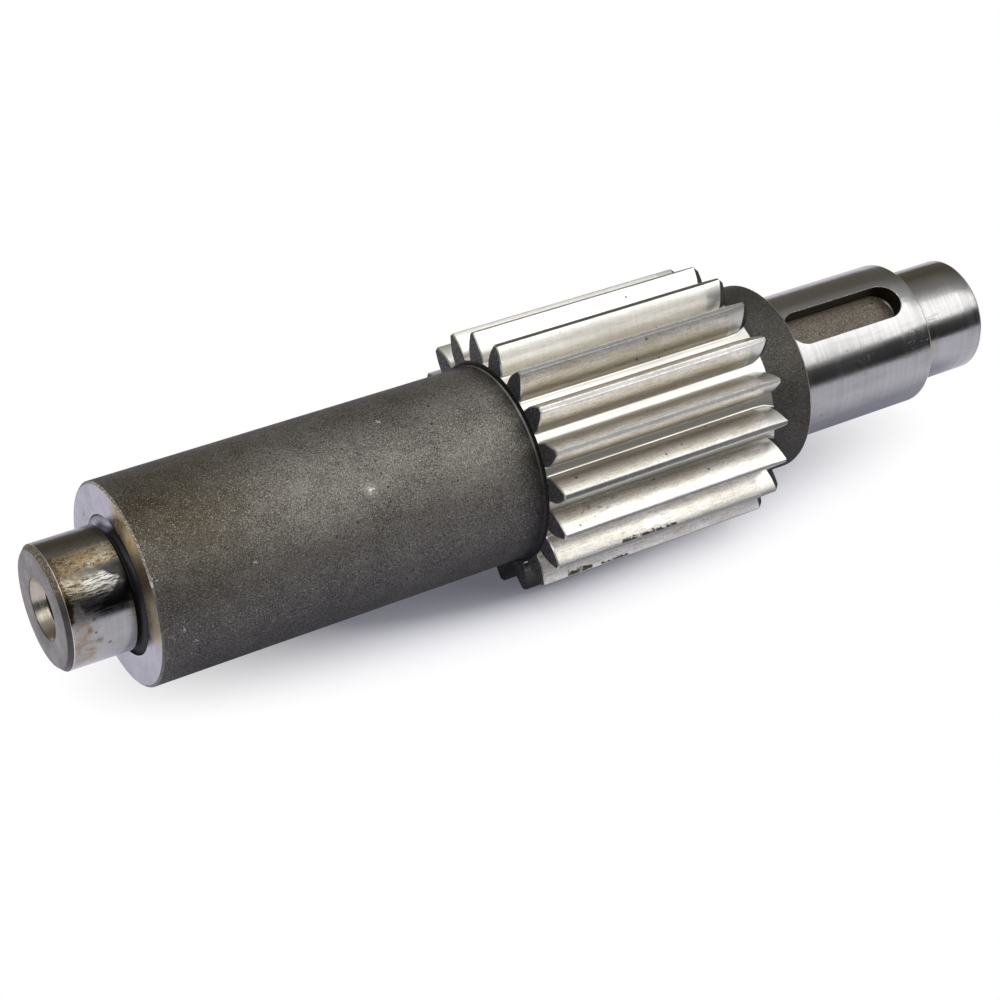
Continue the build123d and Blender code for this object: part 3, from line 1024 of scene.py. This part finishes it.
def keyway_cutter():
    """Closed form of the keyway: floor corner, walls and a flare that breaks the rim, whatever its height."""
    cutter = bmesh.new()
    middle = collar_rear + keyway_setback + keyway_length / 2
    up = Vector((0, -sin(keyway_angle), cos(keyway_angle)))
    across = Vector((0, cos(keyway_angle), sin(keyway_angle)))
    half_width = keyway_width / 2
    straight = keyway_length / 2 - half_width
    steps = 32
    outline = []
    for end in (1, -1):
        for k in range(steps + 1):
            turn = pi * k / steps - pi / 2
            outline.append((end, Vector((cos(turn) * end, sin(turn) * end))))

    def level(offset, height_at):
        points = []
        for end, normal in outline:
            flat = Vector((straight * end, 0)) + normal * (half_width + offset)
            height = height_at(normal.y * half_width)
            points.append(cutter.verts.new(Vector((middle + flat.x, 0, 0)) + across * flat.y + up * height))
        return points

    floor_at = keyed_seat_radius - keyway_depth
    flare = 3 * keyway_edge_break
    clear_of_seat = 5 * MM

    def surface(across_at):
        return sqrt(keyed_seat_radius**2 - across_at**2) - keyway_edge_break

    levels = [
        level(-keyway_floor_corner, lambda _: floor_at),
        level(0, lambda _: floor_at + keyway_floor_corner),
        level(0, surface),
        level(flare, lambda across_at: surface(across_at) + flare),
        level(flare, lambda _: keyed_seat_radius + clear_of_seat),
    ]
    # The floor corner carries a painted highlight, the walls painted shade, and the rim flare the rim finish with its
    # painted highlight
    slots = ["keyway_wall", "dented_glinting_rim", "keyway_floor", "keyway_corner"]
    sides = ("keyway_corner", "keyway_wall", "dented_glinting_rim", "dented_glinting_rim")
    for upper, lower, finish in zip(levels[1:], levels, sides):
        for k in range(len(outline)):
            n = (k + 1) % len(outline)
            cutter.faces.new((lower[k], lower[n], upper[n], upper[k])).material_index = slots.index(finish)
    cutter.faces.new(levels[0]).material_index = slots.index("keyway_floor")
    cutter.faces.new(levels[-1])
    bmesh.ops.recalc_face_normals(cutter, faces=cutter.faces)
    mesh = bpy.data.meshes.new("keyway_cutter")
    cutter.to_mesh(mesh)
    cutter.free()
    for name in slots:
        mesh.materials.append(finishes[name])
    return mesh


blank = put_out(blank_mesh, "shaft_blank")
slot_cutter = put_out(keyway_cutter(), "keyway_cutter")
cut = blank.modifiers.new("keyway", "BOOLEAN")
cut.operation = "DIFFERENCE"
cut.solver = "EXACT"
cut.material_mode = "TRANSFER"
cut.object = slot_cutter
shaft_mesh = settled_mesh(blank, "pinion_shaft_steel")
bpy.data.objects.remove(slot_cutter)
for name in ("across_tooth", "along_tooth"):
    if name in shaft_mesh.attributes:
        shaft_mesh.attributes.remove(shaft_mesh.attributes[name])
shaft_mesh.shade_smooth()
shaft_mesh.set_sharp_from_angle(angle=radians(18.0))
shaft = put_out(shaft_mesh, "pinion_shaft_steel")
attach(shaft, "root")
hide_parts("pinion_shaft")


# ---- Studio ----

def ellipse(place, middle_at, size):
    """Distance from the middle of an ellipse on the floor, 1 at its edge."""
    moved = node("ShaderNodeVectorMath", {0: place, 1: middle_at}, operation="SUBTRACT")
    return length(stretched(moved, (1 / size[0], 1 / size[1], 0.0)))


def pale_paper():
    """Pale floor finish: it keeps the shadow round the object, adds a painted contact shadow under its middle and a
    painted shade beside the shaft that only reflections show, and turns to plain white further out.
    """
    paint = bpy.data.materials.new("pale_floor")
    paint.use_nodes = True
    tree = paint.node_tree
    tree.nodes.clear()
    rays = tree.nodes.new("ShaderNodeLightPath").outputs
    camera_ray, glossy_ray = Value(rays["Is Camera Ray"]), Value(rays["Is Glossy Ray"])
    clear_ray = Value(rays["Is Transmission Ray"])
    place = node("ShaderNodeTexCoord", {}, "Object", tree)
    x, y, _ = coordinates(place)
    # Painted shade beside the shaft, seen only in reflections
    below = ramp(calc("ABSOLUTE", y), 62 * MM, 22 * MM) * window(x, -110 * MM, 150 * MM, 10 * MM)
    in_steel = below * glossy_ray
    # Painted contact shadow: the floor's colour darkens towards the middle of an ellipse under the object
    contact = ramp(ellipse(place, contact_middle, contact_size), 1.0, 0.3)
    paper = tint(contact, (0.93, 0.935, 1.0), (0.385, 0.385, 0.43))
    matt = node("ShaderNodeBsdfDiffuse", {"Color": tint(in_steel, paper, (0.4, 0.4, 0.47))})
    seen = calc("MAXIMUM", calc("MAXIMUM", camera_ray, glossy_ray), clear_ray)
    glow = node("ShaderNodeEmission", {"Color": (0.93, 0.94, 1.14, 1.0), "Strength": seen * floor_glow})
    lit = node("ShaderNodeAddShader", {0: matt, 1: glow})
    background = tint(glossy_ray, (1.0, 1.0, 1.0), (0.92, 0.915, 1.0))
    white = node("ShaderNodeEmission", {"Color": background, "Strength": 1.0})
    far = ramp(ellipse(place, shadow_middle, shadow_size), 0.65, 1.3)
    mixed = node("ShaderNodeMixShader", {0: far * ((1.0 - in_steel) * seen), 1: lit, 2: white})
    feed(tree.nodes.new("ShaderNodeOutputMaterial").inputs["Surface"], mixed)
    return paint


def flat_sheet(name, width, depth, paint):
    """Rectangle that lies flat, with its own material."""
    sheet = bmesh.new()
    bmesh.ops.create_grid(sheet, x_segments=2, y_segments=2, size=0.5)
    bmesh.ops.scale(sheet, verts=sheet.verts, vec=(width, depth, 1.0))
    mesh = bpy.data.meshes.new(name)
    sheet.to_mesh(mesh)
    sheet.free()
    mesh.materials.append(paint)
    thing = put_out(mesh, name)
    return thing


def dark_card_paint():
    """Matt black."""
    paint = bpy.data.materials.new("dark_card")
    paint.use_nodes = True
    face = next(n for n in paint.node_tree.nodes if n.type == "BSDF_PRINCIPLED").inputs
    face["Base Color"].default_value = (0.02, 0.02, 0.02, 1.0)
    face["Roughness"].default_value = 1.0
    return paint


def softbox(name, place, target, width, height, level):
    """Rectangular soft lamp that shines at this level."""
    lamp = bpy.data.lights.new(name, "AREA")
    lamp.shape = "RECTANGLE"
    lamp.size, lamp.size_y = width, height
    lamp.energy = level * pi * width * height
    lamp.color = lamp_colour
    holder = put_out(lamp, name)
    holder.location = place
    holder.rotation_euler = (Vector(target) - Vector(place)).to_track_quat("-Z", "Y").to_euler()


def dim_room():
    """Room round the studio: pale overhead, warm and dim behind, dark at the front."""
    world = bpy.data.worlds.new("studio_room")
    world.use_nodes = True
    tree = world.node_tree
    room = next(n for n in tree.nodes if n.type == "BACKGROUND")
    _, y, z = coordinates(node("ShaderNodeTexCoord", {}, "Generated", tree))
    walls = tint(ramp(y, -0.3, 0.35), (0.05, 0.05, 0.052), (0.21, 0.195, 0.16))
    feed(room.inputs["Color"], tint(ramp(z, 0.56, 0.78), walls, (0.6, 0.61, 0.63)))
    bpy.context.scene.world = world


lamp_colour = (1.0, 1.0, 0.985)
floor_glow = 0.115
shadow_middle = (3.0 * MM, 8.0 * MM, 0.0)
shadow_size = (100.0 * MM, 32.0 * MM)
# Painted contact shadow on the floor: the middle and size of its ellipse
contact_middle = (-8.0 * MM, 2.0 * MM, 0.0)
contact_size = (55.0 * MM, 24.0 * MM)
floor_size = 12.0
floor = flat_sheet("studio_floor", floor_size, floor_size, pale_paper())
floor.location = ((front_face + rear_face) / 2, 0, floor_height)

# A dark card stands low in front of the object, out of the picture, and draws the dark lines in the ground steel
card_width, card_height = 1.4, 0.055
card = flat_sheet("dark_card", card_width, card_height, dark_card_paint())
card.location = (0.3, -0.25, floor_height + card_height / 2)
card.rotation_euler = (pi / 2, 0, 0)
card.visible_camera = False

softbox("front_softbox", (0.436, -0.343, 0.803), (0.13, 0.0, 0.0), 0.82, 1.47, 2.3)
softbox("left_softbox", (-0.62, -0.3, 0.6), (0.0, 0.0, 0.0), 0.5, 0.45, 1.8)
dim_room()
bpy.context.scene.view_settings.view_transform = "Standard"


# ---- Camera ----

camera_place = Vector((-142.2, -397.1, 310.9)) * MM
camera_data = bpy.data.cameras.new("camera")
camera_data.lens = 82.55
camera_data.sensor_width = 36.0
camera = put_out(camera_data, "camera")
back = Vector((-0.44389, -0.69512, 0.56548)).normalized()
right = Vector((0.84920, -0.52778, 0.01782))
right = (right - back * right.dot(back)).normalized()
turned_to = Matrix((right, back.cross(right), back)).transposed().to_4x4()
camera.matrix_world = Matrix.Translation(camera_place) @ turned_to
bpy.context.scene.camera = camera
